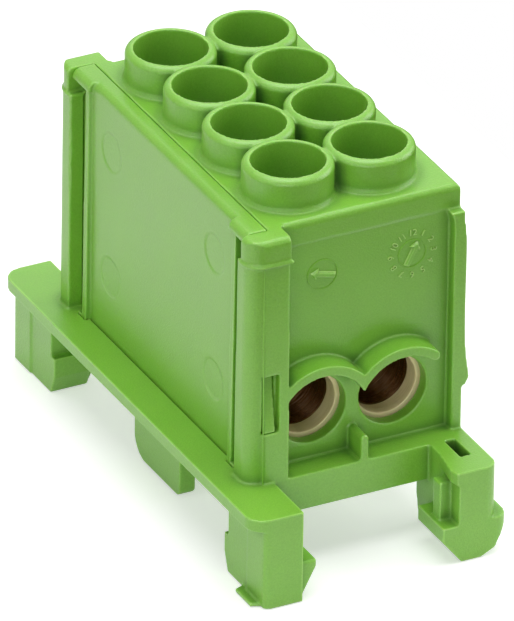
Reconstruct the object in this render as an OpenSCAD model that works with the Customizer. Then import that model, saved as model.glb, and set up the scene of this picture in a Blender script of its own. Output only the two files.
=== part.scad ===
// Main-branch terminal block: a moulded housing with two rows of screw shafts,
// a slide-in side cover, and a brass terminal body clamped by eight screws.
// Millimetres, +Z up, the wires enter along Y. The block stands on its four snap feet.

/* [Wire clamps] */
// Distance between the two wire bores, which is also the distance between the screw columns
pitch_x = 10.4; // [10:0.1:11]
// Distance between the screws along one wire bore
pitch_y = 9.9; // [9.8:0.1:11]
// Diameter of the wire bores in the terminal body
wire_bore_d = 7.8; // [6.8:0.1:8.2]
// Height of the wire bores above the base plate
wire_h = 6.3; // [5.8:0.1:7]
// Wall of the terminal body beside and below its wire bores
clamp_wall = 1.4; // [1.2:0.1:1.6]
// Threaded height of the terminal body above its wire bores
thread_len = 6.4; // [5:0.2:8]
// Play between the terminal body and the walls of its chamber
clamp_fit = 0.15; // [0.1:0.05:0.3]

/* [Clamp screws] */
// Thread diameter of a clamp screw
screw_d = 6; // [5:0.25:6.5]
// Diameter of the cheese head
head_d = 8; // [7.2:0.1:8.2]
// Height of the cheese head
head_h = 4; // [3:0.25:5]
// Width of the driving slot
slot_w = 1.2; // [0.8:0.1:1.6]
// Depth of the driving slot
slot_depth = 1.8; // [1:0.1:2.4]
// Travel of a screw from the open wire bore to the clamped wire
screw_travel = 5.8; // [4:0.2:6]
// Radial play of a screw in its thread
thread_fit = 0.04; // [0.02:0.01:0.08]
// Distance that an open screw keeps from the wire bore and its seat
screw_gap = 0.2; // [0.1:0.05:0.4]

/* [Screw shafts] */
// Play between a screw head and its shaft, all round
shaft_fit = 0.35; // [0.25:0.05:0.5]
// Wall of a screwdriver shaft
shaft_wall = 1; // [0.9:0.05:1.2]
// Height of the shafts above the top of the housing
shaft_h = 4.1; // [2.5:0.1:7]
// Rounding of the shaft rims
rim_r = 0.6; // [0.2:0.05:0.7]
// Fillet at the foot of a shaft
shaft_fillet = 0.6; // [0.3:0.1:0.8]

/* [Housing] */
// Height of the housing above the base plate
body_h = 31.4; // [30:0.1:40]
// Distance from the last screw to the front face
end_margin = 6.9; // [6.8:0.1:9]
// Distance from the right screw column to the right face
right_margin = 8.25; // [7.6:0.05:9]
// Distance from the left screw column to the joint with the side cover
left_margin = 6.2; // [6:0.1:7]
// Thickness of the end walls
end_wall = 1.7; // [1.3:0.1:1.7]
// Thickness of the roof
roof_t = 2; // [1.5:0.1:3]
// Diameter of the wire entries in the end walls
entry_d = 8.7; // [8.2:0.1:9]
// Height of the plain band below the roof
band_h = 3; // [2.5:0.1:4]
// Amount that the band stands out from the end face
band_out = 0.15; // [0.05:0.05:0.3]
// Rounding of the roof edges
roof_r = 0.8; // [0.4:0.1:1]
// Thickness of the right wall's edge strips
edge_t = 1.3; // [1:0.1:1.6]
// Amount that the edge strips stand out from the end face
edge_out = 1.4; // [1:0.1:2]
// Swing of the wavy coupling lug outside the right face
lug_out = 0.9; // [0.5:0.1:1.2]
// Height of the coupling lug's lower end above the base plate
lug_z = 5.5; // [5:0.5:12]

/* [Wire hoods] */
// Depth of the ledge, the hoods and the corner posts in front of the end face
ledge = 3.35; // [3.2:0.05:5]
// Depth of the hoods in front of the end face
hood_depth = 3.1; // [2.5:0.05:3.15]
// Inner radius of a hood about its wire entry
hood_r = 5.8; // [5.5:0.1:6.4]
// Thickness of a hood
hood_t = 1.2; // [0.9:0.1:1.6]
// Angle at which the right hood ends, above the horizontal
hood_end = 52; // [40:1:60]
// Thickness of the rib between the entries
rib_t = 1; // [0.8:0.1:1.4]
// Height of the rib between the entries
rib_h = 3.2; // [2.5:0.1:3.6]

/* [Corner posts] */
// Width of the flat strip that holds the snap window
strip_w = 3.4; // [3.2:0.1:3.8]
// Distance from the joint of the side cover to the post's outer face at its foot
post_out = 3.6; // [3.3:0.1:4]
// Rounding of the post's outer corner
post_r = 1.8; // [1.2:0.1:2.2]
// Backward lean of the strip
strip_lean = 0.9; // [0.5:0.1:1.2]
// Inward lean of the round column beside the strip
column_lean = 0.25; // [0.1:0.05:0.5]
// Amount that the column lies behind the foot of the strip
column_set = 0.45; // [0.3:0.05:0.6]
// Height of the cap on a post
cap_h = 3.3; // [2.5:0.1:4.5]
// Amount that the cap lies inside the foot of its post
cap_set = 0.25; // [0.15:0.05:0.3]
// Rounding of the cap's outer corner
cap_corner_r = 2.3; // [1.5:0.1:2.5]
// Rounding of the cap's top edges
cap_r = 0.8; // [0.4:0.1:1]
// Overhang of the thin lip at the cap's lower edge
lip_out = 0.25; // [0.15:0.05:0.4]
// Thickness of that lip
lip_t = 0.3; // [0.2:0.05:0.5]
// Wall of a post between the cover's guide edge and the front
window_wall = 1.2; // [1:0.1:1.4]
// Width of the snap window
window_w = 2.1; // [1.8:0.1:2.4]
// Height of the snap window
window_h = 7.5; // [6:0.1:9]
// Height of the window's sill above the base plate
window_z = 6.4; // [4:0.1:10]

/* [Side cover] */
// Thickness of the cover's plate
cover_t = 2.2; // [2:0.1:2.6]
// Thickness of the guide edges that slide in the posts
guide_t = 1.6; // [1.4:0.1:1.7]
// Reach of the guide edges into the posts
guide_in = 2.6; // [2:0.1:2.8]
// Play of the cover in the posts and in the base plate
cover_fit = 0.1; // [0.05:0.05:0.2]
// Width of the raised bands at the cover's ends
end_band_w = 1.8; // [1.6:0.1:2.8]
// Amount that the bands stand out at their foot
end_band_out = 0.7; // [0.5:0.1:1]
// Width of the visible groove between a band and its post
groove_w = 1.3; // [1:0.05:1.5]
// Height of the rim that closes the grooves at the cover's top
rim_h = 1.3; // [1:0.1:2]
// Reach of that rim over the inner side of a post
rim_in = 0.8; // [0.5:0.1:1]
// Rounding of the cover's upper edge
cover_r = 1; // [0.5:0.1:1.2]
// Length of the tongue below the base plate, along Y
tongue_l = 11.8; // [8:0.2:20]
// Thickness of the tongue
tongue_t = 2.1; // [1.8:0.1:2.3]
// Amount that the tongue stands out from the cover's plate
tongue_out = 0.4; // [0.2:0.1:0.8]
// Rounding of the tongue's rear lower corner
tongue_r = 3; // [1.5:0.25:4]
// Rounding of the tongue's front lower corner
tongue_front_r = 1; // [0.5:0.25:2]
// Height of the tongue's lower end above the ground
tongue_z = 0.2; // [0.1:0.1:4]
// Diameter of the round ejector marks
mark_d = 5; // [3:0.5:7]
// Depth of the ejector marks
mark_depth = 0.12; // [0.05:0.01:0.2]

/* [Base plate] */
// Thickness of the base plate
plate_t = 1.6; // [1.2:0.1:1.8]
// Reach of the left flange from the joint of the side cover
flange_w = 6.75; // [6.4:0.05:8]
// Length of the tabs in front of the ledge
tab_l = 7.55; // [6.5:0.05:10]
// Corner radius of the left tabs
tab_r = 2.3; // [1.2:0.1:2.4]
// Corner radius of the right tabs
right_tab_r = 1.6; // [1:0.1:1.9]
// Height of the cross beams below the base plate's top
beam_h = 4.6; // [3:0.1:5.5]
// Thickness of the cross beams
beam_t = 1.5; // [1.2:0.1:2.5]
// Amount that the inner side of a right tab flares out towards its end
tab_flare = 0.6; // [0.3:0.1:0.8]
// Width of the slot in a right tab
tab_slot_w = 1.3; // [1:0.1:1.6]
// Length of the slot in a right tab
tab_slot_l = 4; // [3:0.1:5]
// Depth of the slot in a right tab
tab_slot_depth = 4.5; // [2:0.1:6]

/* [Snap feet] */
// Height of the base plate's top above the ground
foot_h = 11.7; // [11:0.1:16]
// Width of a left leg
leg_w = 4.7; // [4:0.1:5]
// Width of a right leg
right_leg_w = 5.1; // [4.4:0.1:5.4]
// Length of a left leg along Y
leg_l = 9.75; // [9:0.05:10]
// Length of a right leg along Y
right_leg_l = 10.7; // [10:0.1:10.8]
// Distance from the left flange's edge to the left legs
leg_inset = 1.75; // [1.3:0.05:2]
// Rounding of a left leg's outer edge
leg_r = 0.8; // [0.5:0.1:1.1]
// Step in the outer face of a left leg
leg_step = 0.2; // [0.1:0.05:0.3]
// Length of the raised part of that face
step_l = 4.6; // [3:0.1:6]
// Height of the catch ledges above the ground
catch_z = 4.8; // [4:0.1:6]
// Reach of the catches that face the middle of the part
catch_out = 2; // [1.2:0.1:2.2]
// Reach of the catches on the right side
side_catch_out = 1.4; // [1:0.1:1.8]
// Height of a catch's blunt tip
catch_tip = 0.9; // [0.4:0.1:1.2]
// Length of the right legs' inner catches along Y
catch_l = 6.4; // [4:0.1:8]
// Distance from the outer end of a left leg to its catch
catch_set = 0.5; // [0.3:0.1:1]
// Reach of the hook on the inner end of a left leg
hook_out = 0.9; // [0.5:0.1:1.2]
// Height of the hook's blunt tip
hook_tip = 2.4; // [1:0.1:3]
// Set-back of a right foot's sole from its sides
toe_in = 0.4; // [0.2:0.1:1]
// Length of the locating rib on a right leg, along Y
nib_l = 1.8; // [1.4:0.1:2.4]
// Reach of the locating rib
nib_out = 1.45; // [1:0.05:1.6]
// Distance from the outer end of a right leg to its locating rib
nib_set = 2.05; // [1.5:0.05:3]
// Reach of the thin lip at the sole of the front left foot
sole_lip_out = 1.3; // [0.6:0.1:1.4]
// Thickness of that lip
sole_lip_t = 0.45; // [0.3:0.05:0.6]

/* [Hidden] */
$fn = 48;
ROWS = 4;
SIDES = [-1, 1];
EPS = 0.01;
OVER = 0.4;

// Heights above the ground
plate_z = foot_h;
under_z = plate_z - plate_t;
wire_z = plate_z + wire_h;
floor_z = wire_z - wire_bore_d / 2 - clamp_wall;
clamp_top = wire_z + wire_bore_d / 2 + thread_len;
roof_z = plate_z + body_h;
rim_z = roof_z + shaft_h;
band_z = roof_z - band_h;
cap_z = roof_z - cap_h;
rim_low_z = roof_z - rim_h;

// Places in plan, counted from the middle of the screw grid
col_x = pitch_x / 2;
end_y = (ROWS - 1) / 2 * pitch_y + end_margin;
front_y = end_y + ledge;
tab_y = front_y + tab_l;
right_x = col_x + right_margin;
joint_x = -col_x - left_margin;
flange_x = joint_x - flange_w;
post_x = joint_x - post_out;
ridge_x = post_x + post_r + OVER / 2;
strip_x = post_x + post_r + strip_w;
post_y = front_y - guide_in - window_wall;
seam_y = post_y + rim_in;
cap_x = post_x + cap_set / 2;
cap_y = front_y - cap_set;
cap_end_x = strip_x + cap_set / 2;
chamber_y = end_y - end_wall;
clamp_x = col_x + wire_bore_d / 2 + clamp_wall;
clamp_y = chamber_y - clamp_fit;
chamber_x = clamp_x + clamp_fit;
shaft_d = head_d + 2 * shaft_fit;
shaft_r = shaft_d / 2;
shaft_out_r = shaft_r + shaft_wall;

// Side cover
cover_x = joint_x - cover_t;
guide_x = joint_x - guide_t;
guide_y = post_y + guide_in;
cover_y = post_y - groove_w;
band_y = cover_y - end_band_w;
band_x = cover_x - end_band_out;
cover_lean = atan2(end_band_out / 2, body_h);
nose_in = window_wall - tan(strip_lean) * window_z - cover_fit;
window_x = guide_x - 1.5 * cover_fit;

// Snap feet
left_leg_x = flange_x + leg_inset;
right_leg_x = right_x - right_leg_w;
leg_y = tab_y - leg_l;
right_leg_y = tab_y - right_leg_l;

// The frame's origin is under the middle of the part
reach_right = right_x + side_catch_out;
grid_x = -(flange_x + reach_right) / 2;

GREEN = [0.42, 0.68, 0.22];
BRASS = [0.72, 0.58, 0.32];
STEEL = [0.70, 0.70, 0.72];

// Block between two corners
module block(low, high) {
    translate(low) cube([high[0] - low[0], high[1] - low[1], high[2] - low[2]]);
}

// Copies for the front and the rear end of the part
module both_ends() {
    children();
    mirror([0, 1, 0]) children();
}

// Children at every screw axis
module at_screws() {
    for (side = SIDES)
        for (row = [0 : ROWS - 1])
            translate([side * col_x, (row - (ROWS - 1) / 2) * pitch_y, 0]) children();
}

// Cutter that rounds a long edge: the edge lies along +X at the origin, the solid at -Y and -Z
module edge_cutter(length, r) {
    difference() {
        translate([-OVER, -r, -r]) cube([length + 2 * OVER, r + OVER, r + OVER]);
        translate([-2 * OVER, -r, -r]) rotate([0, 90, 0]) cylinder(r = r, h = length + 4 * OVER);
    }
}

// Cutter that rounds a corner in the plane: the corner lies at the origin, the solid at +X and +Y
module corner_cutter(r) {
    difference() {
        translate([-OVER, -OVER]) square(r + OVER);
        translate([r, r]) circle(r);
    }
}

// Rectangle between two corners with its corner at the low x and low y rounded
module soft_corner(low, high, r) {
    translate(low) difference() {
        square(high - low);
        corner_cutter(r);
    }
}

// Outside of one screwdriver shaft, from the chamber to its softened rim
module shaft_outside() {
    start = clamp_top + clamp_fit;
    translate([0, 0, start]) cylinder(r = shaft_out_r, h = rim_z - rim_r - start);
    translate([0, 0, rim_z - rim_r])
        cylinder(r1 = shaft_out_r, r2 = shaft_out_r - rim_r * 0.35, h = rim_r * 0.6);
    translate([0, 0, rim_z - rim_r * 0.4])
        cylinder(r1 = shaft_out_r - rim_r * 0.35, r2 = shaft_out_r - rim_r, h = rim_r * 0.4);
    translate([0, 0, roof_z - EPS])
        cylinder(r1 = shaft_out_r + shaft_fillet / 2, r2 = shaft_out_r - EPS, h = shaft_fillet);
}

// Hood over one wire entry, seen from the front, with the neighbour on its left and a soft end on its right
module hood_outline(end_angle) {
    far = 2 * hood_r;
    mid_r = hood_r + hood_t / 2;
    intersection() {
        difference() {
            circle(hood_r + hood_t);
            circle(hood_r);
        }
        polygon([[-col_x, 0], [0, 0], far * [cos(end_angle), sin(end_angle)], [far, far], [-col_x, far]]);
    }
    translate(mid_r * [cos(end_angle), sin(end_angle)]) circle(hood_t * 0.46);
}

// Outline of the coupling lug, which swells below its upper end and flares at its foot
module lug_outline() {
    steps = 24;
    height = band_z - plate_z - lug_z;
    foot_round = 0.06;
    wave = [for (i = [0 : steps])
        let (t = i / steps,
             swell = 0.48 - 0.95 * exp(-14 * t) - 0.4 * t,
             flare = 1.3 * pow(t, 6),
             rounding = 0.9 * pow(max(0, (t - 1 + foot_round) / foot_round), 2))
        [lug_out * (swell + flare - rounding), band_z - t * height]];
    back = [for (i = [steps : -1 : 0]) [min(0, wave[i][0]) - edge_t, wave[i][1]]];
    translate([right_x, 0]) polygon(concat(wave, back));
}

// Everything that stands in front of one end face, modelled at the front
module end_details() {
    // hoods, which meet in a V between the entries; the left one runs into the corner post
    for (side = SIDES)
        translate([side * col_x, -end_y + OVER, wire_z]) rotate([90, 0, 0])
            linear_extrude(hood_depth + OVER) mirror([side < 0 ? 1 : 0, 0])
                hood_outline(side < 0 ? hood_end / 2 : hood_end);
    // rib between the entries
    block([-rib_t / 2, -front_y, under_z], [rib_t / 2, -end_y + OVER, plate_z + rib_h - rib_t / 2]);
    translate([0, -end_y + OVER, plate_z + rib_h - rib_t / 2]) rotate([90, 0, 0])
        cylinder(d = rib_t, h = ledge + OVER);
    // edge strip of the right wall and its coupling lug
    block([right_x - edge_t, -end_y - edge_out, under_z], [right_x, -end_y + OVER, band_z]);
    translate([0, -end_y + OVER, 0]) rotate([90, 0, 0]) linear_extrude(edge_out + OVER) lug_outline();
}

// Corner post of one end with its cap, modelled at the front
module corner_post() {
    // strip with the snap window, which leans back from the front of the cross beam
    translate([0, -front_y, plate_z]) rotate([-strip_lean, 0, 0])
        block([ridge_x, 0, -OVER], [strip_x, guide_in + window_wall - OVER / 4, cap_z - plate_z + OVER]);
    block([joint_x, -front_y + 2 * OVER, under_z], [strip_x - EPS, -end_y + OVER, cap_z + OVER]);
    // round column
    translate([post_x, -front_y + column_set, plate_z]) rotate([0, column_lean, 0])
        translate([0, 0, -OVER]) linear_extrude(cap_z - plate_z + lip_t / 2 + OVER)
            soft_corner([0, 0], [post_r + 2 * OVER, front_y - column_set - post_y], post_r);
    // cap with rounded top edges and a thin lip round its foot
    difference() {
        translate([0, 0, cap_z]) linear_extrude(cap_h)
            soft_corner([cap_x, -cap_y], [cap_end_x, -seam_y], cap_corner_r);
        translate([cap_x, -cap_y, roof_z]) mirror([0, 1, 0]) edge_cutter(cap_end_x - cap_x, cap_r);
        translate([cap_x, -seam_y, roof_z]) rotate([0, 0, -90]) mirror([0, 1, 0])
            edge_cutter(cap_y - seam_y, cap_r);
    }
    translate([0, 0, cap_z]) linear_extrude(lip_t)
        soft_corner([cap_x - lip_out, -cap_y - lip_out], [cap_end_x + lip_out, -seam_y],
                    cap_corner_r + lip_out);
}

// Channel and window of one corner post, modelled at the front
module post_cuts() {
    block([guide_x - cover_fit, -guide_y - cover_fit, under_z - OVER], [joint_x, -cover_y, cap_z]);
    block([guide_x - cover_fit, -post_y, cap_z - OVER], [joint_x, -cover_y, rim_low_z]);
    block([window_x, -front_y - OVER, plate_z + window_z],
          [window_x + window_w, -guide_y, plate_z + window_z + window_h]);
}

// Plan of the base plate and its four tabs
module plate_plan() {
    translate([flange_x, -front_y]) square([right_x - flange_x, 2 * front_y]);
    for (end = [0, 1]) mirror([0, end]) {
        soft_corner([flange_x, -tab_y], [left_leg_x + leg_w, -front_y + OVER], tab_r);
        mirror([1, 0]) soft_corner([-right_x, -tab_y], [-right_leg_x, -front_y + OVER], right_tab_r);
        translate([right_leg_x, -tab_y])
            polygon([[OVER, 0], [-tab_flare / 2, 0], [-tab_flare, 2 * tab_flare], [OVER, tab_l]]);
    }
}

// Left leg of one end, straight down to its flat sole, with one catch towards the middle of the part
module left_foot() {
    // leg with a raised outer part and a rounded outer edge
    linear_extrude(under_z + OVER) {
        soft_corner([-leg_step, -tab_y], [leg_w, -tab_y + step_l], leg_r);
        translate([0, -tab_y + step_l - OVER]) square([leg_w, leg_l - step_l + OVER]);
    }
    // catch
    translate([0, -leg_y, 0]) rotate([90, 0, 0]) linear_extrude(leg_l - catch_set)
        polygon([[leg_w - OVER, 0], [leg_w - EPS, 0], [leg_w + catch_out, catch_z - catch_tip],
                 [leg_w + catch_out, catch_z], [leg_w - OVER, catch_z]]);
    // hook on the inner end
    rotate([90, 0, 90]) linear_extrude(leg_w)
        polygon([[-leg_y - OVER, catch_z], [-leg_y + hook_out, catch_z],
                 [-leg_y + hook_out, catch_z - hook_tip], [-leg_y, 0], [-leg_y - OVER, 0]]);
}

// Right leg of one end, with a rounded outer edge, catches on both sides and a locating rib
module right_foot() {
    low_z = catch_z - catch_tip;
    sole = right_leg_w - right_tab_r - toe_in;
    // leg
    translate([0, 0, catch_z - EPS]) linear_extrude(under_z - catch_z + OVER)
        mirror([1, 0]) soft_corner([-right_leg_w, -tab_y], [0, -right_leg_y], right_tab_r);
    // head with the catch on the right side
    intersection() {
        translate([0, -right_leg_y, 0]) rotate([90, 0, 0]) linear_extrude(right_leg_l)
            polygon([[toe_in, 0], [sole, 0], [right_leg_w - toe_in, toe_in * 2],
                     [right_leg_w + side_catch_out, low_z], [right_leg_w + side_catch_out, catch_z],
                     [0, catch_z], [0, low_z]]);
        linear_extrude(catch_z) mirror([1, 0])
            soft_corner([-right_leg_w - side_catch_out, -tab_y], [0, -right_leg_y], right_tab_r);
    }
    // shorter catch on the left side
    translate([0, -tab_y + catch_l, 0]) rotate([90, 0, 0]) linear_extrude(catch_l)
        polygon([[toe_in, 0], [OVER + toe_in, 0], [OVER + toe_in, catch_z], [-catch_out, catch_z],
                 [-catch_out, catch_z - 2 * catch_tip]]);
    // locating rib above that catch
    block([-nib_out, -tab_y + nib_set, catch_z - OVER], [OVER, -tab_y + nib_set + nib_l, under_z - OVER]);
}

// Feet of one end and the cross beam between them, modelled at the front
module end_feet() {
    translate([left_leg_x, 0, 0]) left_foot();
    translate([right_leg_x, 0, 0]) right_foot();
    block([left_leg_x + OVER, -front_y, plate_z - beam_h],
          [right_x - OVER, -front_y + beam_t, plate_z - EPS]);
}

// Thin lip at the sole of the front left foot
module sole_lip() {
    length = step_l + sole_lip_out - leg_r;
    taper = sole_lip_out / 2;
    translate([left_leg_x, -tab_y + leg_r, 0]) linear_extrude(sole_lip_t)
        polygon([[OVER, 0], [-sole_lip_out, taper], [-sole_lip_out, length - taper], [OVER, length]]);
}

module housing() {
    color(GREEN) translate([grid_x, 0, 0]) difference() {
        union() {
            difference() {
                union() {
                    // walls and roof
                    block([joint_x, -end_y, under_z], [right_x, end_y, band_z + EPS]);
                    block([joint_x, -end_y - band_out, band_z], [right_x, end_y + band_out, roof_z]);
                    // base plate
                    translate([0, 0, under_z]) linear_extrude(plate_t) plate_plan();
                    both_ends() {
                        end_details();
                        corner_post();
                        end_feet();
                    }
                    sole_lip();
                }
                // chamber of the terminal body, open towards the side cover
                block([joint_x - OVER, -chamber_y, floor_z], [chamber_x, chamber_y, roof_z - roof_t]);
                // rounded roof edges
                both_ends() translate([cap_end_x + lip_out + OVER, -end_y - band_out, roof_z])
                    mirror([0, 1, 0]) edge_cutter(right_x - cap_end_x, roof_r);
                translate([right_x, -end_y - OVER, roof_z]) rotate([0, 0, 90]) mirror([0, 1, 0])
                    edge_cutter(2 * end_y + OVER, roof_r);
                both_ends() post_cuts();
                // passage of the side cover through the base plate
                block([guide_x - cover_fit, -post_y - OVER, under_z - OVER],
                      [joint_x, post_y + OVER, plate_z + OVER]);
                block([cover_x - cover_fit, -cover_y - cover_fit, under_z - OVER],
                      [joint_x, cover_y + cover_fit, plate_z + OVER]);
                both_ends() block([band_x - cover_fit, -cover_y - cover_fit, under_z - OVER],
                                  [joint_x, -band_y + cover_fit, plate_z + OVER]);
            }
            at_screws() shaft_outside();
        }
        at_screws() translate([0, 0, clamp_top - OVER])
            cylinder(d = shaft_d, h = rim_z - clamp_top + 2 * OVER);
        // wire entries
        for (side = SIDES)
            translate([side * col_x, front_y, wire_z]) rotate([90, 0, 0])
                cylinder(d = entry_d, h = 2 * front_y);
        // slots in the right tabs
        slot_x = right_leg_x + right_leg_w / 2 - tab_slot_w / 2;
        both_ends() block([slot_x, -front_y - tab_slot_l, plate_z - tab_slot_depth],
                          [slot_x + tab_slot_w, -front_y, plate_z + OVER]);
    }
}

module side_cover() {
    mark_y = band_y - mark_d;
    inner_x = joint_x - cover_fit;
    color(GREEN) translate([grid_x, 0, 0]) {
        // plate, from the roof down through the base plate, with a rounded upper edge and ejector marks
        difference() {
            block([cover_x, -cover_y, under_z], [inner_x, cover_y, roof_z]);
            translate([cover_x, cover_y, roof_z]) rotate([0, 0, -90]) mirror([0, 1, 0])
                edge_cutter(2 * cover_y, cover_r);
            for (end = SIDES)
                for (level = [plate_z + mark_d * 1.6, roof_z - mark_d * 1.4])
                    translate([cover_x - EPS, end * mark_y, level]) rotate([0, 90, 0])
                        cylinder(d = mark_d, h = mark_depth + EPS);
        }
        both_ends() {
            // raised band at the end of the plate
            translate([band_x, 0, plate_z]) rotate([0, cover_lean, 0])
                block([0, -cover_y, -plate_t], [cover_t, -band_y, body_h - rim_h + OVER]);
            // rim over the band and the groove, up to the cap of the post
            difference() {
                block([band_x, -seam_y + cover_fit, rim_low_z], [inner_x, -band_y + OVER, roof_z]);
                translate([band_x, -band_y + OVER, roof_z]) rotate([0, 0, -90]) mirror([0, 1, 0])
                    edge_cutter(seam_y - band_y + OVER, cover_r);
            }
            // floor of the groove, and the guide edge that runs in the post with its snap nose
            block([guide_x, -post_y + cover_fit, under_z], [inner_x, -cover_y + OVER, rim_low_z + OVER]);
            block([guide_x, -guide_y, under_z], [inner_x, -cover_y + OVER, cap_z - cover_fit]);
            snap_nose();
        }
        tongue();
    }
}

// Tongue of the side cover below the base plate
module tongue() {
    half_l = tongue_l / 2;
    top_z = under_z - cover_fit;
    translate([cover_x - tongue_out, 0, 0]) rotate([90, 0, 90]) linear_extrude(tongue_t)
        difference() {
            translate([-half_l, tongue_z]) square([tongue_l, top_z - tongue_z]);
            translate([-half_l, tongue_z]) corner_cutter(tongue_front_r);
            translate([half_l, tongue_z]) mirror([1, 0]) corner_cutter(tongue_r);
        }
    // neck that joins the tongue to the plate
    block([cover_x, -half_l + tongue_r / 2, top_z - OVER],
          [cover_x - tongue_out + tongue_t - EPS, half_l - tongue_r / 2, under_z + OVER]);
}

// Wedge of the side cover that catches in a post's window, modelled at the front
module snap_nose() {
    nose_z = plate_z + window_z + cover_fit;
    nose_h = window_h - 4 * cover_fit;
    translate([guide_x + cover_fit / 2, 0, 0]) rotate([90, 0, 90]) linear_extrude(guide_t - 2 * cover_fit)
        polygon([[-guide_y + OVER, nose_z], [-guide_y - nose_in, nose_z],
                 [-guide_y - EPS, nose_z + nose_h], [-guide_y + OVER, nose_z + nose_h]]);
}

module terminal_body() {
    color(BRASS) translate([grid_x, 0, 0]) difference() {
        block([-clamp_x, -clamp_y, floor_z], [clamp_x, clamp_y, clamp_top]);
        for (side = SIDES)
            translate([side * col_x, clamp_y + OVER, wire_z]) rotate([90, 0, 0])
                cylinder(d = wire_bore_d, h = 2 * clamp_y + 2 * OVER);
        at_screws() translate([0, 0, wire_z])
            cylinder(r = screw_d / 2 + thread_fit, h = clamp_top - wire_z + OVER);
    }
}

// One clamp screw, backed out until the wire bore is free
module clamp_screw(index) {
    side = index <= ROWS ? -1 : 1;
    row = (index - 1) % ROWS;
    shank_z = wire_z + wire_bore_d / 2 + screw_gap;
    head_z = shank_z + thread_len + screw_travel;
    color(STEEL) translate([grid_x + side * col_x, (row - (ROWS - 1) / 2) * pitch_y, 0]) difference() {
        union() {
            translate([0, 0, shank_z]) cylinder(d = screw_d, h = head_z - shank_z + EPS);
            translate([0, 0, head_z]) cylinder(d = head_d, h = head_h);
        }
        translate([-head_d, -slot_w / 2, head_z + head_h - slot_depth])
            cube([2 * head_d, slot_w, slot_depth + OVER]);
    }
}

housing();
side_cover();
terminal_body();
for (index = [1 : 2 * ROWS])
    clamp_screw(index);
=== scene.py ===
import math
import bmesh
import bpy
from mathutils import Matrix, Vector


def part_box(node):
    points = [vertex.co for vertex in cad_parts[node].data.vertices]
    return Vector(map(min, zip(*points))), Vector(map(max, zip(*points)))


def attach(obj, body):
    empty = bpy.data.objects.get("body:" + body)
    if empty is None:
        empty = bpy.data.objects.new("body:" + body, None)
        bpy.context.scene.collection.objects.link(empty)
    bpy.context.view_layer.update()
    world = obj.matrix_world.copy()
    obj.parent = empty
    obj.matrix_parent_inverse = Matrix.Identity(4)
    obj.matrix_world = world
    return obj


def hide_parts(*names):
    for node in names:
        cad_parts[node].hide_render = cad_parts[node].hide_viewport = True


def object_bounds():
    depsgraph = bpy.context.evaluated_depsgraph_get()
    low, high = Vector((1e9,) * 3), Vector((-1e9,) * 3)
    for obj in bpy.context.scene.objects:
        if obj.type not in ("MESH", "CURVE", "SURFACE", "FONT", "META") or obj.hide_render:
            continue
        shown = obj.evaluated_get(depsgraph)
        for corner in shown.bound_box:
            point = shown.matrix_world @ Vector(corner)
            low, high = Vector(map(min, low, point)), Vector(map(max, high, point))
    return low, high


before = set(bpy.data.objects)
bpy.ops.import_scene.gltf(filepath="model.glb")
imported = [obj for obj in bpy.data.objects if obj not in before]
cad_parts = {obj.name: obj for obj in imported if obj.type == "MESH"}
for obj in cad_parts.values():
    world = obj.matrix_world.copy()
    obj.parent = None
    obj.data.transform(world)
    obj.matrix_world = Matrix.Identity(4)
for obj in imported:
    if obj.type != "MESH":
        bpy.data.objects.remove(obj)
cad_low, cad_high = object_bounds()

# Terminal body
# The current-carrying bar of the block: a sawn brass block with two drilled wire bores and eight
# tapped holes from above. It lies loose in the housing's chamber and is held in by the side cover.
MM = 0.001
BRASS_EDGE = 0.16          # resolution of its softened edges, mm
BRASS_DEEP = (0.86, 0.67, 0.36)
BRASS_PALE = (0.98, 0.84, 0.53)
BRASS_GLOSS = (0.36, 0.50)           # lowest and highest roughness
BRASS_GROOVE = 0.12                  # height of the turning marks, mm
BRASS_SCALES = (5000, 150)           # of the marks and of the broad tone
BRASS_STRETCH = (0.06, 1, 0.06)      # the marks run round the bores
# painted shade deep inside the wire bores
BORE_PAINTED_SHADE = (0.34, 0.17, 0.045)
MOUTH_METAL, BORE_METAL = 0.15, 0.7  # metallic share of the matt mouth, and what the bore adds
BORE_SHINE = 0.15                    # what the bore is less rough by
BORE_MIDDLE_X = 1.65       # halfway between the two bores, mm
BORE_PITCH = 10.4          # mm
BORE_Z = 18.0              # mm
BORE_R = 3.9               # mm
MOUTH_Y = 17.8             # where the turned mouth ends and the painted bore shade begins, mm from the middle


def softened_copy(node, grid, passes, share):
    """Copy of a solid with its edges rounded over about two grid steps, worked out in millimetres."""
    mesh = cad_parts[node].data.copy()
    mesh.transform(Matrix.Scale(1 / MM, 4))
    bm = bmesh.new()
    bm.from_mesh(mesh)
    bmesh.ops.remove_doubles(bm, verts=bm.verts, dist=1e-4)
    bm.to_mesh(mesh)
    bm.free()
    rough = bpy.data.objects.new(node + "_rough", mesh)
    bpy.context.collection.objects.link(rough)
    skin = rough.modifiers.new("skin", "REMESH")
    skin.mode = "VOXEL"
    skin.voxel_size = grid
    skin.use_smooth_shade = True
    soft = rough.modifiers.new("soft edges", "SMOOTH")
    soft.factor = 0.5
    soft.iterations = passes
    lean = rough.modifiers.new("lean", "DECIMATE")
    lean.ratio = share
    even = rough.modifiers.new("even light", "WEIGHTED_NORMAL")
    even.weight = 70
    done = bpy.data.meshes.new_from_object(rough.evaluated_get(bpy.context.evaluated_depsgraph_get()))
    bpy.data.objects.remove(rough)
    done.transform(Matrix.Scale(MM, 4))
    done.name = node + "_skin"
    piece = bpy.data.objects.new(node + "_skin", done)
    bpy.context.collection.objects.link(piece)
    return piece


def put_on(piece, material):
    """Gives a piece its only material."""
    piece.data.materials.clear()
    piece.data.materials.append(material)


def new_material(name):
    """Material with a plain principled shader; returns material, nodes, links and shader."""
    material = bpy.data.materials.new(name)
    material.use_nodes = True
    nodes = material.node_tree.nodes
    return material, nodes, material.node_tree.links, nodes["Principled BSDF"]


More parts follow.
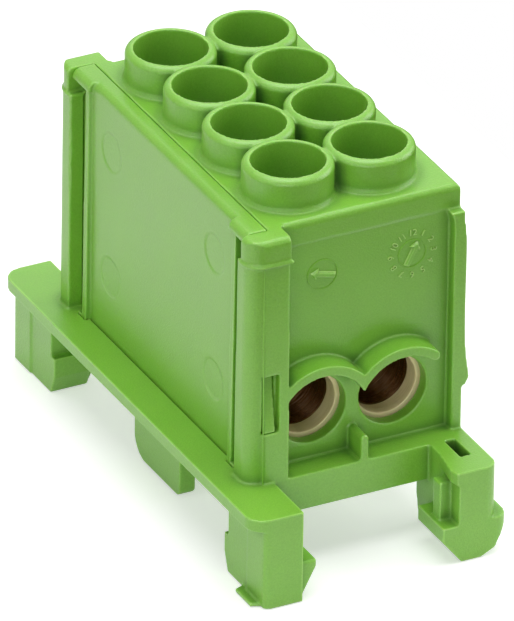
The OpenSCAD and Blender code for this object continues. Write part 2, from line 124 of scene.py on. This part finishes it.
def math_step(nodes, links, operation, *values):
    """Arithmetic node fed with numbers or with the outputs of other nodes; returns its result."""
    step = nodes.new("ShaderNodeMath")
    step.operation = operation
    for socket, value in zip(step.inputs, values):
        if isinstance(value, (int, float)):
            socket.default_value = value
        else:
            links.new(value, socket)
    return step.outputs["Value"]


def surface_grain_group():
    """Shared unevenness of a made surface: a broad tone, a fine grain and the height of both."""
    group = bpy.data.node_groups.new("surface grain", "ShaderNodeTree")
    face = group.interface
    face.new_socket("Grain Scale", in_out="INPUT", socket_type="NodeSocketFloat").default_value = 4000
    face.new_socket("Cloud Scale", in_out="INPUT", socket_type="NodeSocketFloat").default_value = 120
    face.new_socket("Stretch", in_out="INPUT", socket_type="NodeSocketVector").default_value = (1, 1, 1)
    face.new_socket("Tone", in_out="OUTPUT", socket_type="NodeSocketFloat")
    face.new_socket("Grain", in_out="OUTPUT", socket_type="NodeSocketFloat")
    nodes, links = group.nodes, group.links
    inlet = nodes.new("NodeGroupInput")
    outlet = nodes.new("NodeGroupOutput")
    place = nodes.new("ShaderNodeTexCoord")
    stretch = nodes.new("ShaderNodeVectorMath")
    stretch.operation = "MULTIPLY"
    cloud = nodes.new("ShaderNodeTexNoise")
    cloud.inputs["Detail"].default_value = 3
    grain = nodes.new("ShaderNodeTexNoise")
    grain.inputs["Detail"].default_value = 2
    links.new(place.outputs["Object"], stretch.inputs[0])
    links.new(inlet.outputs["Stretch"], stretch.inputs[1])
    links.new(stretch.outputs["Vector"], cloud.inputs["Vector"])
    links.new(stretch.outputs["Vector"], grain.inputs["Vector"])
    links.new(inlet.outputs["Cloud Scale"], cloud.inputs["Scale"])
    links.new(inlet.outputs["Grain Scale"], grain.inputs["Scale"])
    links.new(cloud.outputs["Fac"], outlet.inputs["Tone"])
    contrast = nodes.new("ShaderNodeMapRange")
    contrast.inputs["From Min"].default_value = 0.3
    contrast.inputs["From Max"].default_value = 0.7
    links.new(grain.outputs["Fac"], contrast.inputs["Value"])
    links.new(contrast.outputs["Result"], outlet.inputs["Grain"])
    return group


surface_grain = surface_grain_group()


def add_grain(nodes, links, shader, colours, roughness, bump, scales, stretch=(1, 1, 1)):
    """Feeds a shader from the shared grain: two colours, two roughnesses and a bump distance in mm."""
    grain = nodes.new("ShaderNodeGroup")
    grain.node_tree = surface_grain
    grain.inputs["Grain Scale"].default_value = scales[0]
    grain.inputs["Cloud Scale"].default_value = scales[1]
    grain.inputs["Stretch"].default_value = stretch
    tint = nodes.new("ShaderNodeMix")
    tint.data_type = "RGBA"
    tint.inputs["A"].default_value = (*colours[0], 1)
    tint.inputs["B"].default_value = (*colours[1], 1)
    half_tone = math_step(nodes, links, "MULTIPLY", grain.outputs["Tone"], 0.5)
    mottle = math_step(nodes, links, "MULTIPLY_ADD", grain.outputs["Grain"], 0.5, half_tone)
    links.new(mottle, tint.inputs["Factor"])
    links.new(tint.outputs["Result"], shader.inputs["Base Color"])
    gloss = nodes.new("ShaderNodeMapRange")
    gloss.inputs["To Min"].default_value = roughness[0]
    gloss.inputs["To Max"].default_value = roughness[1]
    links.new(grain.outputs["Tone"], gloss.inputs["Value"])
    links.new(gloss.outputs["Result"], shader.inputs["Roughness"])
    relief = nodes.new("ShaderNodeBump")
    relief.inputs["Strength"].default_value = 0.5
    relief.inputs["Distance"].default_value = bump * MM
    links.new(grain.outputs["Grain"], relief.inputs["Height"])
    links.new(relief.outputs["Normal"], shader.inputs["Normal"])
    return tint, gloss


brass, brass_nodes, brass_links, brass_shader = new_material("drilled brass")
brass_tint, brass_gloss = add_grain(brass_nodes, brass_links, brass_shader, (BRASS_DEEP, BRASS_PALE),
                                    BRASS_GLOSS, BRASS_GROOVE, BRASS_SCALES, BRASS_STRETCH)


def brass_math(operation, *values):
    """Arithmetic node in the brass material."""
    return math_step(brass_nodes, brass_links, operation, *values)


# behind its turned mouth each bore is painted dark brown as painted shade, and is made more metallic and
# less rough
brass_place = brass_nodes.new("ShaderNodeTexCoord")
brass_axes = brass_nodes.new("ShaderNodeSeparateXYZ")
brass_links.new(brass_place.outputs["Object"], brass_axes.inputs["Vector"])
from_middle = brass_math("ABSOLUTE", brass_math("SUBTRACT", brass_axes.outputs["X"], BORE_MIDDLE_X * MM))
aside = brass_math("SUBTRACT", from_middle, BORE_PITCH / 2 * MM)
above = brass_math("SUBTRACT", brass_axes.outputs["Z"], BORE_Z * MM)
squares = brass_math("ADD", brass_math("POWER", aside, 2), brass_math("POWER", above, 2))
off_axis = brass_math("SQRT", squares)
in_bore = brass_math("LESS_THAN", off_axis, (BORE_R + 0.2) * MM)
deep = brass_math("LESS_THAN", brass_math("ABSOLUTE", brass_axes.outputs["Y"]), MOUTH_Y * MM)
deep_in_bore = brass_math("MULTIPLY", in_bore, deep)
bore_painted_shade = brass_nodes.new("ShaderNodeMix")
bore_painted_shade.data_type = "RGBA"
bore_painted_shade.inputs["B"].default_value = (*BORE_PAINTED_SHADE, 1)
brass_links.new(deep_in_bore, bore_painted_shade.inputs["Factor"])
brass_links.new(brass_tint.outputs["Result"], bore_painted_shade.inputs["A"])
brass_links.new(bore_painted_shade.outputs["Result"], brass_shader.inputs["Base Color"])
metal = brass_math("ADD", brass_math("MULTIPLY", deep_in_bore, BORE_METAL), MOUTH_METAL)
brass_links.new(metal, brass_shader.inputs["Metallic"])
shine = brass_math("MULTIPLY", deep_in_bore, BORE_SHINE)
brass_rough = brass_math("SUBTRACT", brass_gloss.outputs["Result"], shine)
brass_links.new(brass_rough, brass_shader.inputs["Roughness"])

terminal_body = softened_copy("terminal_body", BRASS_EDGE, 2, 0.16)
put_on(terminal_body, brass)
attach(terminal_body, "block")
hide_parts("terminal_body")

# Clamp screws
# Eight zinc-plated steel cheese-head screws with a plain slot, one under each shaft. Each is turned
# down into the brass until it presses the wire; here they are backed out, as the block is supplied.
THREAD_PITCH = 1.0         # mm
THREAD_DEPTH = 0.55        # mm
SHANK_R = 3.0              # mm
SHANK_JOIN = 0.2           # how far the shank reaches into the head, mm
HEAD_SHARE = 4 / 16.2      # part of a screw's height that is its head
SLOT_W = 1.2               # mm
SLOT_DEPTH = 1.8           # mm
ZINC_DEEP = (0.52, 0.53, 0.54)
ZINC_PALE = (0.68, 0.69, 0.70)


def threaded_shank_tree():
    """Round bar whose skin rises and falls along a helix; it stands on the origin."""
    tree = bpy.data.node_groups.new("threaded shank", "GeometryNodeTree")
    face = tree.interface
    for name, value in (("Radius", 0.003), ("Depth", 0.0005), ("Pitch", 0.001), ("Length", 0.012)):
        face.new_socket(name, in_out="INPUT", socket_type="NodeSocketFloat").default_value = value
    face.new_socket("Material", in_out="INPUT", socket_type="NodeSocketMaterial")
    face.new_socket("Geometry", in_out="OUTPUT", socket_type="NodeSocketGeometry")
    nodes, links = tree.nodes, tree.links
    inlet = nodes.new("NodeGroupInput")
    outlet = nodes.new("NodeGroupOutput")
    bar = nodes.new("GeometryNodeMeshCylinder")
    bar.inputs["Vertices"].default_value = 28
    bar.inputs["Side Segments"].default_value = 84
    links.new(inlet.outputs["Radius"], bar.inputs["Radius"])
    links.new(inlet.outputs["Length"], bar.inputs["Depth"])
    place = nodes.new("GeometryNodeInputPosition")
    split = nodes.new("ShaderNodeSeparateXYZ")
    links.new(place.outputs["Position"], split.inputs["Vector"])

    def thread_math(operation, *values):
        return math_step(nodes, links, operation, *values)

    angle = thread_math("ARCTAN2", split.outputs["Y"], split.outputs["X"])
    turn = thread_math("DIVIDE", angle, 2 * math.pi)
    climb = thread_math("DIVIDE", split.outputs["Z"], inlet.outputs["Pitch"])
    wave = thread_math("PINGPONG", thread_math("SUBTRACT", climb, turn), 0.5)
    sink = thread_math("MULTIPLY", thread_math("MULTIPLY", wave, 2), inlet.outputs["Depth"])
    keep = thread_math("SUBTRACT", 1, thread_math("DIVIDE", sink, inlet.outputs["Radius"]))
    half_length = thread_math("MULTIPLY", inlet.outputs["Length"], 0.5)
    joined = nodes.new("ShaderNodeCombineXYZ")
    links.new(thread_math("MULTIPLY", split.outputs["X"], keep), joined.inputs["X"])
    links.new(thread_math("MULTIPLY", split.outputs["Y"], keep), joined.inputs["Y"])
    links.new(thread_math("ADD", split.outputs["Z"], half_length), joined.inputs["Z"])
    cut = nodes.new("GeometryNodeSetPosition")
    links.new(bar.outputs["Mesh"], cut.inputs["Geometry"])
    links.new(joined.outputs["Vector"], cut.inputs["Position"])
    real = nodes.new("GeometryNodeRealizeInstances")
    paint = nodes.new("GeometryNodeSetMaterial")
    links.new(cut.outputs["Geometry"], real.inputs["Geometry"])
    links.new(real.outputs["Geometry"], paint.inputs["Geometry"])
    links.new(inlet.outputs["Material"], paint.inputs["Material"])
    links.new(paint.outputs["Geometry"], outlet.inputs["Geometry"])
    return tree


def grown_mesh(name, tree, values):
    """Plain mesh from a geometry tree with its named inputs set."""
    holder = bpy.data.objects.new(name + "_holder", bpy.data.meshes.new(name + "_holder"))
    bpy.context.collection.objects.link(holder)
    growth = holder.modifiers.new("growth", "NODES")
    growth.node_group = tree
    for item in tree.interface.items_tree:
        if item.in_out == "INPUT" and item.name in values:
            growth[item.identifier] = values[item.name]
    done = bpy.data.meshes.new_from_object(holder.evaluated_get(bpy.context.evaluated_depsgraph_get()))
    bpy.data.objects.remove(holder)
    done.name = name
    return done


zinc, zinc_nodes, zinc_links, zinc_shader = new_material("zinc-plated steel")
zinc_shader.inputs["Metallic"].default_value = 1
add_grain(zinc_nodes, zinc_links, zinc_shader, (ZINC_DEEP, ZINC_PALE), (0.25, 0.42), 0.015, (2500, 300))

shank_tree = threaded_shank_tree()
for number in range(1, 9):
    node = "clamp_screw_%d" % number
    low, high = (Vector(corner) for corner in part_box(node))
    middle = (low + high) / 2
    head_z = high.z - (high.z - low.z) * HEAD_SHARE
    head_r = (high.x - low.x) / 2
    slot_z = high.z - SLOT_DEPTH * MM
    bm = bmesh.new()
    # head: turned disc with a rounded upper edge, then the slot is cut down through it
    outline = [(0, head_z), (head_r - 0.3 * MM, head_z), (head_r, head_z + 0.3 * MM),
               (head_r, high.z - 0.7 * MM), (head_r - 0.12 * MM, high.z - 0.3 * MM),
               (head_r - 0.6 * MM, high.z), (0, high.z)]
    rim = [bm.verts.new((r, 0, z)) for r, z in outline]
    edges = [bm.edges.new(pair) for pair in zip(rim, rim[1:])]
    bmesh.ops.spin(bm, geom=rim + edges, cent=(0, 0, 0), axis=(0, 0, 1), angle=2 * math.pi, steps=40)
    bmesh.ops.remove_doubles(bm, verts=bm.verts, dist=1e-7)
    bmesh.ops.recalc_face_normals(bm, faces=bm.faces)
    head = bpy.data.meshes.new(node + "_head")
    bm.to_mesh(head)
    bm.free()
    cutter_mesh = bpy.data.meshes.new("slot_cutter")
    bm = bmesh.new()
    bmesh.ops.create_cube(bm, size=1)
    bmesh.ops.scale(bm, vec=(3 * head_r, SLOT_W * MM, 4 * MM), verts=bm.verts)
    bmesh.ops.translate(bm, vec=(0, 0, slot_z + 2 * MM), verts=bm.verts)
    bm.to_mesh(cutter_mesh)
    bm.free()
    cutter = bpy.data.objects.new("slot_cutter", cutter_mesh)
    bpy.context.collection.objects.link(cutter)
    turned = bpy.data.objects.new(node + "_turned", head)
    bpy.context.collection.objects.link(turned)
    slot = turned.modifiers.new("slot", "BOOLEAN")
    slot.object = cutter
    slot.solver = "EXACT"
    screw_mesh = bpy.data.meshes.new_from_object(turned.evaluated_get(bpy.context.evaluated_depsgraph_get()))
    bpy.data.objects.remove(turned)
    bpy.data.objects.remove(cutter)
    # shank: the threaded bar from the tree, joined below the head
    shank = grown_mesh(node + "_shank", shank_tree,
                       {"Radius": SHANK_R * MM, "Depth": THREAD_DEPTH * MM, "Pitch": THREAD_PITCH * MM,
                        "Length": head_z - low.z + SHANK_JOIN * MM, "Material": zinc})
    shank.transform(Matrix.Translation((0, 0, low.z)))
    bm = bmesh.new()
    bm.from_mesh(screw_mesh)
    bm.from_mesh(shank)
    bmesh.ops.translate(bm, vec=(middle.x, middle.y, 0), verts=bm.verts)
    bm.to_mesh(screw_mesh)
    bm.free()
    screw = bpy.data.objects.new(node + "_turned", screw_mesh)
    bpy.context.collection.objects.link(screw)
    screw.data.shade_smooth()
    screw.data.set_sharp_from_angle(angle=math.radians(35))
    put_on(screw, zinc)
    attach(screw, "screw_%d" % number)
    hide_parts(node)

# Housing
# One injection moulding in green polyamide: chamber, shafts, posts, base plate and snap feet. Its
# edges are slightly rounded by the mould, and its satin skin has the fine grain of the eroded tool.
GREEN_DEEP = (0.178, 0.440, 0.036)
GREEN_PALE = (0.250, 0.560, 0.060)
# pale green for the painted highlight along outer edges
GREEN_PAINTED_HIGHLIGHT = (0.410, 0.710, 0.165)
# deep green for the painted shade in inner corners
GREEN_PAINTED_SHADE = (0.055, 0.185, 0.006)
GREEN_GRAIN = 0.035        # height of the tool's grain, mm
GREEN_SCALES = (5200, 160)
PAINTED_HIGHLIGHT_REACH = 0.32          # width of the painted highlight lines along outer edges, mm
PAINTED_SHADE_REACH = 1.8         # width of the painted shade in inner corners, mm
CORNER_DULL = 0.5          # roughness added in inner corners, under the painted shade
MOULD_EDGE = 0.16          # resolution of the softened edges, mm


def painted_highlight_and_shade_group():
    """Masks for a moulding's painted light: one for a painted highlight along outer edges, one for painted
    shade in inner corners.
    """
    group = bpy.data.node_groups.new("painted highlight and shade", "ShaderNodeTree")
    face = group.interface
    face.new_socket("Painted Highlight Reach", in_out="INPUT", socket_type="NodeSocketFloat").default_value = 0.3 * MM
    face.new_socket("Corner Reach", in_out="INPUT", socket_type="NodeSocketFloat").default_value = 1.5 * MM
    face.new_socket("Painted Highlight", in_out="OUTPUT", socket_type="NodeSocketFloat")
    face.new_socket("Corner", in_out="OUTPUT", socket_type="NodeSocketFloat")
    nodes, links = group.nodes, group.links
    inlet = nodes.new("NodeGroupInput")
    outlet = nodes.new("NodeGroupOutput")
    # ambient occlusion from inside finds outer edges for the painted highlight, from outside inner corners
    # for the painted shade
    for name, inside, open_share, shut_share in (("Painted Highlight", True, 0.90, 0.58), ("Corner", False, 0.95, 0.35)):
        around = nodes.new("ShaderNodeAmbientOcclusion")
        around.inside = inside
        around.only_local = True
        around.samples = 8
        links.new(inlet.outputs[name + " Reach"], around.inputs["Distance"])
        mask = nodes.new("ShaderNodeMapRange")
        mask.inputs["From Min"].default_value = open_share
        mask.inputs["From Max"].default_value = shut_share
        links.new(around.outputs["AO"], mask.inputs["Value"])
        links.new(mask.outputs["Result"], outlet.inputs[name])
    return group


painted_highlight_and_shade = painted_highlight_and_shade_group()


def lay_painted_light(nodes, links, shader, tint, gloss, highlight_colour, shade_colour):
    """Lays a painted highlight along a material's outer edges and painted shade in its inner corners, which
    are also made rougher.
    """
    painted_light = nodes.new("ShaderNodeGroup")
    painted_light.node_tree = painted_highlight_and_shade
    painted_light.inputs["Painted Highlight Reach"].default_value = PAINTED_HIGHLIGHT_REACH * MM
    painted_light.inputs["Corner Reach"].default_value = PAINTED_SHADE_REACH * MM
    before = tint.outputs["Result"]
    # painted highlight on the outer edges first, then painted shade in the inner corners
    for name, colour in (("Painted Highlight", highlight_colour), ("Corner", shade_colour)):
        layer = nodes.new("ShaderNodeMix")
        layer.data_type = "RGBA"
        layer.inputs["B"].default_value = (*colour, 1)
        links.new(painted_light.outputs[name], layer.inputs["Factor"])
        links.new(before, layer.inputs["A"])
        before = layer.outputs["Result"]
    links.new(before, shader.inputs["Base Color"])
    dull = math_step(nodes, links, "MULTIPLY_ADD",
                     painted_light.outputs["Corner"], CORNER_DULL, gloss.outputs["Result"])
    links.new(dull, shader.inputs["Roughness"])


polyamide, green_nodes, green_links, green_shader = new_material("green polyamide")
green_tint, green_gloss = add_grain(green_nodes, green_links, green_shader, (GREEN_DEEP, GREEN_PALE),
                                    (0.26, 0.36), GREEN_GRAIN, GREEN_SCALES)
# the housing and side cover get a painted highlight on outer edges and painted shade in inner corners
lay_painted_light(green_nodes, green_links, green_shader, green_tint, green_gloss, GREEN_PAINTED_HIGHLIGHT, GREEN_PAINTED_SHADE)
green_shader.inputs["Specular IOR Level"].default_value = 0.75
green_shader.inputs["Subsurface Weight"].default_value = 0.35
green_shader.inputs["Subsurface Radius"].default_value = (0.4, 1.0, 0.15)
green_shader.inputs["Subsurface Scale"].default_value = 0.7 * MM

housing = softened_copy("housing", MOULD_EDGE, 2, 0.14)
put_on(housing, polyamide)
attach(housing, "block")
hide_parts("housing")

# Mould date dials
# Two small round inserts of the mould leave their print on the front wall: a ring, a raised arrow
# and, round the right one, the numbers of the months. They are part of the same moulding.
FRONT_WALL_Y = -21.75      # mm
DIAL_SINK = 0.1            # how far the prints reach into the wall, mm
ARROW_L = 3.5              # mm
ARROW_HALF = 0.46          # half the shaft's width, mm
ARROW_HEAD_L = 1.15        # mm
ARROW_HEAD_HALF = 0.85     # mm
ARROW_H = 0.34             # mm
ARROW_SLOPE = 0.26         # how far the sides lean in, mm
RING_W = 0.2               # mm
RING_H = 0.09              # mm
MONTHS_R = 2.7             # radius of the ring of months, mm
NUMBER_SIZE = 1.1          # mm
NUMBER_H = 0.14            # mm


def wall_ridge(bm, low_outline, high_outline, height):
    """Raised shape on the front wall between two outlines of (x, z) points in mm."""
    foot = [bm.verts.new((x, FRONT_WALL_Y + DIAL_SINK, z)) for x, z in low_outline]
    top = [bm.verts.new((x, FRONT_WALL_Y - height, z)) for x, z in high_outline]
    count = len(foot)
    for i in range(count):
        bm.faces.new((foot[i], foot[(i + 1) % count], top[(i + 1) % count], top[i]))
    bm.faces.new(top)
    bm.faces.new(foot[::-1])


def wall_ring(bm, centre, radius, width, height):
    """Raised ring on the front wall with a rounded top, closed all round."""
    profile = ((-width / 2, -DIAL_SINK), (-width / 3, height), (width / 3, height), (width / 2, -DIAL_SINK))
    rings = []
    for step in range(48):
        angle = 2 * math.pi * step / 48
        rings.append([bm.verts.new((centre[0] + (radius + r) * math.cos(angle), FRONT_WALL_Y - h,
                                    centre[1] + (radius + r) * math.sin(angle))) for r, h in profile])
    for one, two in zip(rings, rings[1:] + rings[:1]):
        for i in range(4):
            bm.faces.new((one[i], two[i], two[(i + 1) % 4], one[(i + 1) % 4]))


def dial_arrow(centre, turn, inset):
    """Outline of a plain arrow about a centre, turned from the +X direction and drawn in by an inset."""
    tail, neck, tip = inset - ARROW_L / 2, ARROW_L / 2 - ARROW_HEAD_L + inset, ARROW_L / 2 - 1.6 * inset
    slim, wide = ARROW_HALF - inset, ARROW_HEAD_HALF - inset
    plain = ((tail, -slim), (neck, -slim), (neck, -wide), (tip, 0), (neck, wide), (neck, slim), (tail, slim))
    cos, sin = math.cos(turn), math.sin(turn)
    return [(centre[0] + x * cos - z * sin, centre[1] + x * sin + z * cos) for x, z in plain]


def numeral(bm, word, centre, turn, size, height):
    """Raised number on the front wall, its foot towards the dial's middle."""
    letters = bpy.data.curves.new("month_number", "FONT")
    letters.body = word
    letters.size = size
    letters.align_x = "CENTER"
    letters.align_y = "CENTER"
    letters.extrude = (height + DIAL_SINK) / 2
    holder = bpy.data.objects.new("month_number", letters)
    bpy.context.collection.objects.link(holder)
    flat = bpy.data.meshes.new_from_object(holder.evaluated_get(bpy.context.evaluated_depsgraph_get()))
    bpy.data.objects.remove(holder)
    stand = Matrix.Translation((centre[0], FRONT_WALL_Y + (DIAL_SINK - height) / 2, centre[1]))
    flat.transform(stand @ Matrix.Rotation(math.radians(90), 4, "X") @ Matrix.Rotation(turn, 4, "Z"))
    bm.from_mesh(flat)
    bpy.data.meshes.remove(flat)


def moulded_on(name, bm, material):
    """Finishes a print of the mould, drawn in mm, as a piece of the block."""
    bmesh.ops.remove_doubles(bm, verts=bm.verts, dist=1e-4)
    bmesh.ops.recalc_face_normals(bm, faces=bm.faces)
    mesh = bpy.data.meshes.new(name)
    bm.to_mesh(mesh)
    bm.free()
    mesh.transform(Matrix.Scale(MM, 4))
    piece = bpy.data.objects.new(name, mesh)
    bpy.context.collection.objects.link(piece)
    put_on(piece, material)
    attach(piece, "block")


bare_polyamide, bare_nodes, bare_links, bare_shader = new_material("bare green polyamide")
add_grain(bare_nodes, bare_links, bare_shader, (GREEN_DEEP, GREEN_PALE),
          (0.30, 0.40), GREEN_GRAIN, GREEN_SCALES)
for name, centre, disc_r, turn, months in (("year", (-2.5, 35.45), 1.9, math.radians(166.4), 0),
                                           ("month", (9.0, 35.4), 1.75, math.radians(63.7), 12)):
    ring = bmesh.new()
    wall_ring(ring, centre, disc_r, RING_W, RING_H)
    moulded_on(name + "_ring", ring, bare_polyamide)
    dial = bmesh.new()
    wall_ridge(dial, dial_arrow(centre, turn, 0), dial_arrow(centre, turn, ARROW_SLOPE), ARROW_H)
    for month in range(months):
        lean = math.radians(90 - 30 * (month + 1))
        spot = (centre[0] + MONTHS_R * math.cos(lean), centre[1] + MONTHS_R * math.sin(lean))
        numeral(dial, str(month + 1), spot, lean - math.radians(90), NUMBER_SIZE, NUMBER_H)
    moulded_on(name + "_arrow", dial, polyamide)

# Parting seams
# Where the mould's slide met its core, a fine raised seam runs down the edge of each post's strip.
# It was not trimmed, and shows as a thin pale line.
SEAM_X = -11.42            # mm
SEAM_FOOT = (25.1, 11.7)   # distance from the middle and height of its lower end, mm
SEAM_TOP = (24.67, 39.7)   # the same of its upper end, under the cap, mm
SEAM_HALF = 0.08           # half its width, mm
SEAM_H = 0.06              # how far it stands out, mm
SEAM_SINK = 0.1            # how far its edges lie under the skin, mm
SEAM_ROOT = 0.3            # how far it is rooted in the post, mm
seams = bmesh.new()
for side in (-1, 1):
    ends = []
    for reach, height in (SEAM_FOOT, SEAM_TOP):
        section = ((SEAM_X - SEAM_HALF, reach - SEAM_SINK), (SEAM_X, reach + SEAM_H),
                   (SEAM_X + SEAM_HALF, reach - SEAM_SINK), (SEAM_X, reach - SEAM_ROOT))
        ends.append([seams.verts.new((x, side * y, height)) for x, y in section])
    for i in range(4):
        seams.faces.new((ends[0][i], ends[0][(i + 1) % 4], ends[1][(i + 1) % 4], ends[1][i]))
    for end in ends:
        seams.faces.new(end)
moulded_on("parting_seams", seams, bare_polyamide)

# Side cover
# A second moulding in the same polyamide that slides up between the corner posts and closes the
# chamber. Two noses snap into the posts' windows, and a tongue hangs below the base plate.
BAND_FOOT, BAND_HEAD = 11.9, 41.75     # heights between which its raised end bands stand free, mm
BAND_ROOT_X = -11.5                    # where the bands stand on the plate behind, mm
BAND_INNER_Y, BAND_OUTER_Y = 18.7, 20  # the stretch of each band that is drawn in, mm from the middle
BAND_OPEN_Y = 19.15                    # where its outer edge then lies, mm from the middle
STEP = 0.05                            # height of the small steps where the stretch ends, mm
side_cover = softened_copy("side_cover", MOULD_EDGE, 2, 0.25)
# each band is drawn in from its post, so that the groove between them is open and shows dark
banded = bmesh.new()
banded.from_mesh(side_cover.data)
for axis, levels in (((0, 0, 1), (BAND_FOOT, BAND_FOOT + STEP, BAND_HEAD - STEP, BAND_HEAD)),
                     ((1, 0, 0), (BAND_ROOT_X, BAND_ROOT_X - STEP))):
    for level in levels:
        everything = banded.verts[:] + banded.edges[:] + banded.faces[:]
        bmesh.ops.bisect_plane(banded, geom=everything, dist=1e-7,
                               plane_co=Vector(axis) * level * MM, plane_no=axis)
for point in banded.verts:
    reach = abs(point.co.y) / MM
    free = BAND_FOOT + STEP / 2 < point.co.z / MM < BAND_HEAD - STEP / 2
    if free and point.co.x / MM < BAND_ROOT_X - STEP / 2 and reach > BAND_INNER_Y:
        share = (reach - BAND_INNER_Y) / (BAND_OUTER_Y - BAND_INNER_Y)
        narrowed = BAND_INNER_Y + share * (BAND_OPEN_Y - BAND_INNER_Y)
        point.co.y = math.copysign(narrowed * MM, point.co.y)
banded.to_mesh(side_cover.data)
banded.free()
put_on(side_cover, polyamide)
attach(side_cover, "block")
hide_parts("side_cover")

# Studio
# A sheet of white paper under a large soft box, with weaker ones at the sides, as for a catalogue
# picture. The sky is white to the camera and gives only a little soft light.
SHEET_LEFT, SHEET_RIGHT = -0.30, 0.06     # m
SHEET_FRONT, SHEET_BACK = -0.075, 0.35    # m
PAPER_GREY = 0.78
FLOOR_LIFT = 0.45                         # what the paper adds towards white
FLOOR_GLOSS = 0.62                        # part of the lift that reflections see
WORLD_LIGHT = 0.21                        # soft light from all round
SKY_GLOSS = 0.6                           # brightness of the sky in reflections
floor_mesh = bpy.data.meshes.new("floor")
floor_mesh.from_pydata([(SHEET_LEFT, SHEET_FRONT, 0), (SHEET_RIGHT, SHEET_FRONT, 0),
                        (SHEET_RIGHT, SHEET_BACK, 0), (SHEET_LEFT, SHEET_BACK, 0)], [], [(0, 1, 2, 3)])
floor = bpy.data.objects.new("floor", floor_mesh)
floor.location.z = cad_low.z - 0.0001
bpy.context.collection.objects.link(floor)
paper, paper_nodes, paper_links, paper_shader = new_material("white paper")
paper_shader.inputs["Base Color"].default_value = (PAPER_GREY, PAPER_GREY, PAPER_GREY, 1)
paper_shader.inputs["Roughness"].default_value = 0.9
paper_shader.inputs["Specular IOR Level"].default_value = 0
paper_shader.inputs["Emission Color"].default_value = (1, 1, 1, 1)
rays = paper_nodes.new("ShaderNodeLightPath")
in_mirror = math_step(paper_nodes, paper_links, "MULTIPLY", rays.outputs["Is Glossy Ray"], FLOOR_GLOSS)
seen = math_step(paper_nodes, paper_links, "MAXIMUM", rays.outputs["Is Camera Ray"], in_mirror)
lift = math_step(paper_nodes, paper_links, "MULTIPLY", seen, FLOOR_LIFT)
paper_links.new(lift, paper_shader.inputs["Emission Strength"])
floor.data.materials.append(paper)

world = bpy.data.worlds.new("studio")
world.use_nodes = True
bpy.context.scene.world = world
sky_nodes, sky_links = world.node_tree.nodes, world.node_tree.links
sky = sky_nodes["Background"]
sky.inputs["Color"].default_value = (1, 1, 1, 1)
sky_rays = sky_nodes.new("ShaderNodeLightPath")
sky_place = sky_nodes.new("ShaderNodeTexCoord")
sky_axes = sky_nodes.new("ShaderNodeSeparateXYZ")
sky_links.new(sky_place.outputs["Generated"], sky_axes.inputs["Vector"])


def sky_math(operation, *values):
    """Arithmetic node in the sky."""
    return math_step(sky_nodes, sky_links, operation, *values)


# white to the camera, and in reflections only above the horizon
upward = sky_math("GREATER_THAN", sky_axes.outputs["Z"], 0)
mirrored = sky_math("MULTIPLY", sky_rays.outputs["Is Glossy Ray"], upward)
soft_light = sky_math("MULTIPLY", sky_rays.outputs["Is Diffuse Ray"], WORLD_LIGHT)
shown = sky_math("MAXIMUM", sky_rays.outputs["Is Camera Ray"], sky_math("MULTIPLY", mirrored, SKY_GLOSS))
sky_links.new(sky_math("MAXIMUM", shown, soft_light), sky.inputs["Strength"])

centre = (cad_low + cad_high) / 2
for name, place, size, power in (("top box", (0, 0.05, 0.75), 0.70, 5.2),
                                 ("right box", (0.68, -0.12, 0.30), 0.60, 3.0),
                                 ("left box", (-0.66, -0.12, 0.40), 0.60, 1.1),
                                 ("front box", (-0.40, -0.62, 0.16), 0.45, 1.25),
                                 ("back box", (0.30, 0.60, 0.36), 0.60, 0.5)):
    lamp = bpy.data.lights.new(name, "AREA")
    lamp.size = size
    lamp.energy = power
    holder = bpy.data.objects.new(name, lamp)
    holder.location = centre + Vector(place)
    holder.rotation_euler = (centre - holder.location).to_track_quat("-Z", "Y").to_euler()
    bpy.context.collection.objects.link(holder)

# Camera
# It looks down on the front left corner, at the photograph's angle. It stands far off with a long
# lens, so the block's edges stay nearly parallel.
RIM_MIDDLE = Vector((0.00165, 0, 0.0471))       # middle of the eight shaft rims
CAMERA_AZIMUTH = math.radians(-27.395)
CAMERA_ELEVATION = math.radians(28.514)
CAMERA_ROLL = math.radians(0.833)
CAMERA_DISTANCE = 1.6
CAMERA_LENS = 808.9
AIM_RIGHT, AIM_UP = -0.001422, -0.024799        # picture's middle, seen from the middle of the rims
camera = bpy.data.cameras.new("camera")
camera.lens = CAMERA_LENS
camera.sensor_width = 36
camera.clip_start = 0.1
camera.clip_end = 20
viewer = bpy.data.objects.new("camera", camera)
away = Vector((math.sin(CAMERA_AZIMUTH) * math.cos(CAMERA_ELEVATION),
               -math.cos(CAMERA_AZIMUTH) * math.cos(CAMERA_ELEVATION), math.sin(CAMERA_ELEVATION)))
tilt = (-away).to_track_quat("-Z", "Y").to_matrix() @ Matrix.Rotation(CAMERA_ROLL, 3, "Z")
right, up = tilt.col[0].copy(), tilt.col[1].copy()
viewer.location = RIM_MIDDLE + away * CAMERA_DISTANCE
back = (viewer.location - RIM_MIDDLE - right * AIM_RIGHT - up * AIM_UP).normalized()
right = (right - back * right.dot(back)).normalized()
viewer.rotation_euler = Matrix((right, back.cross(right), back)).transposed().to_euler()
bpy.context.collection.objects.link(viewer)
bpy.context.scene.camera = viewer
bpy.context.scene.view_settings.view_transform = "Standard"
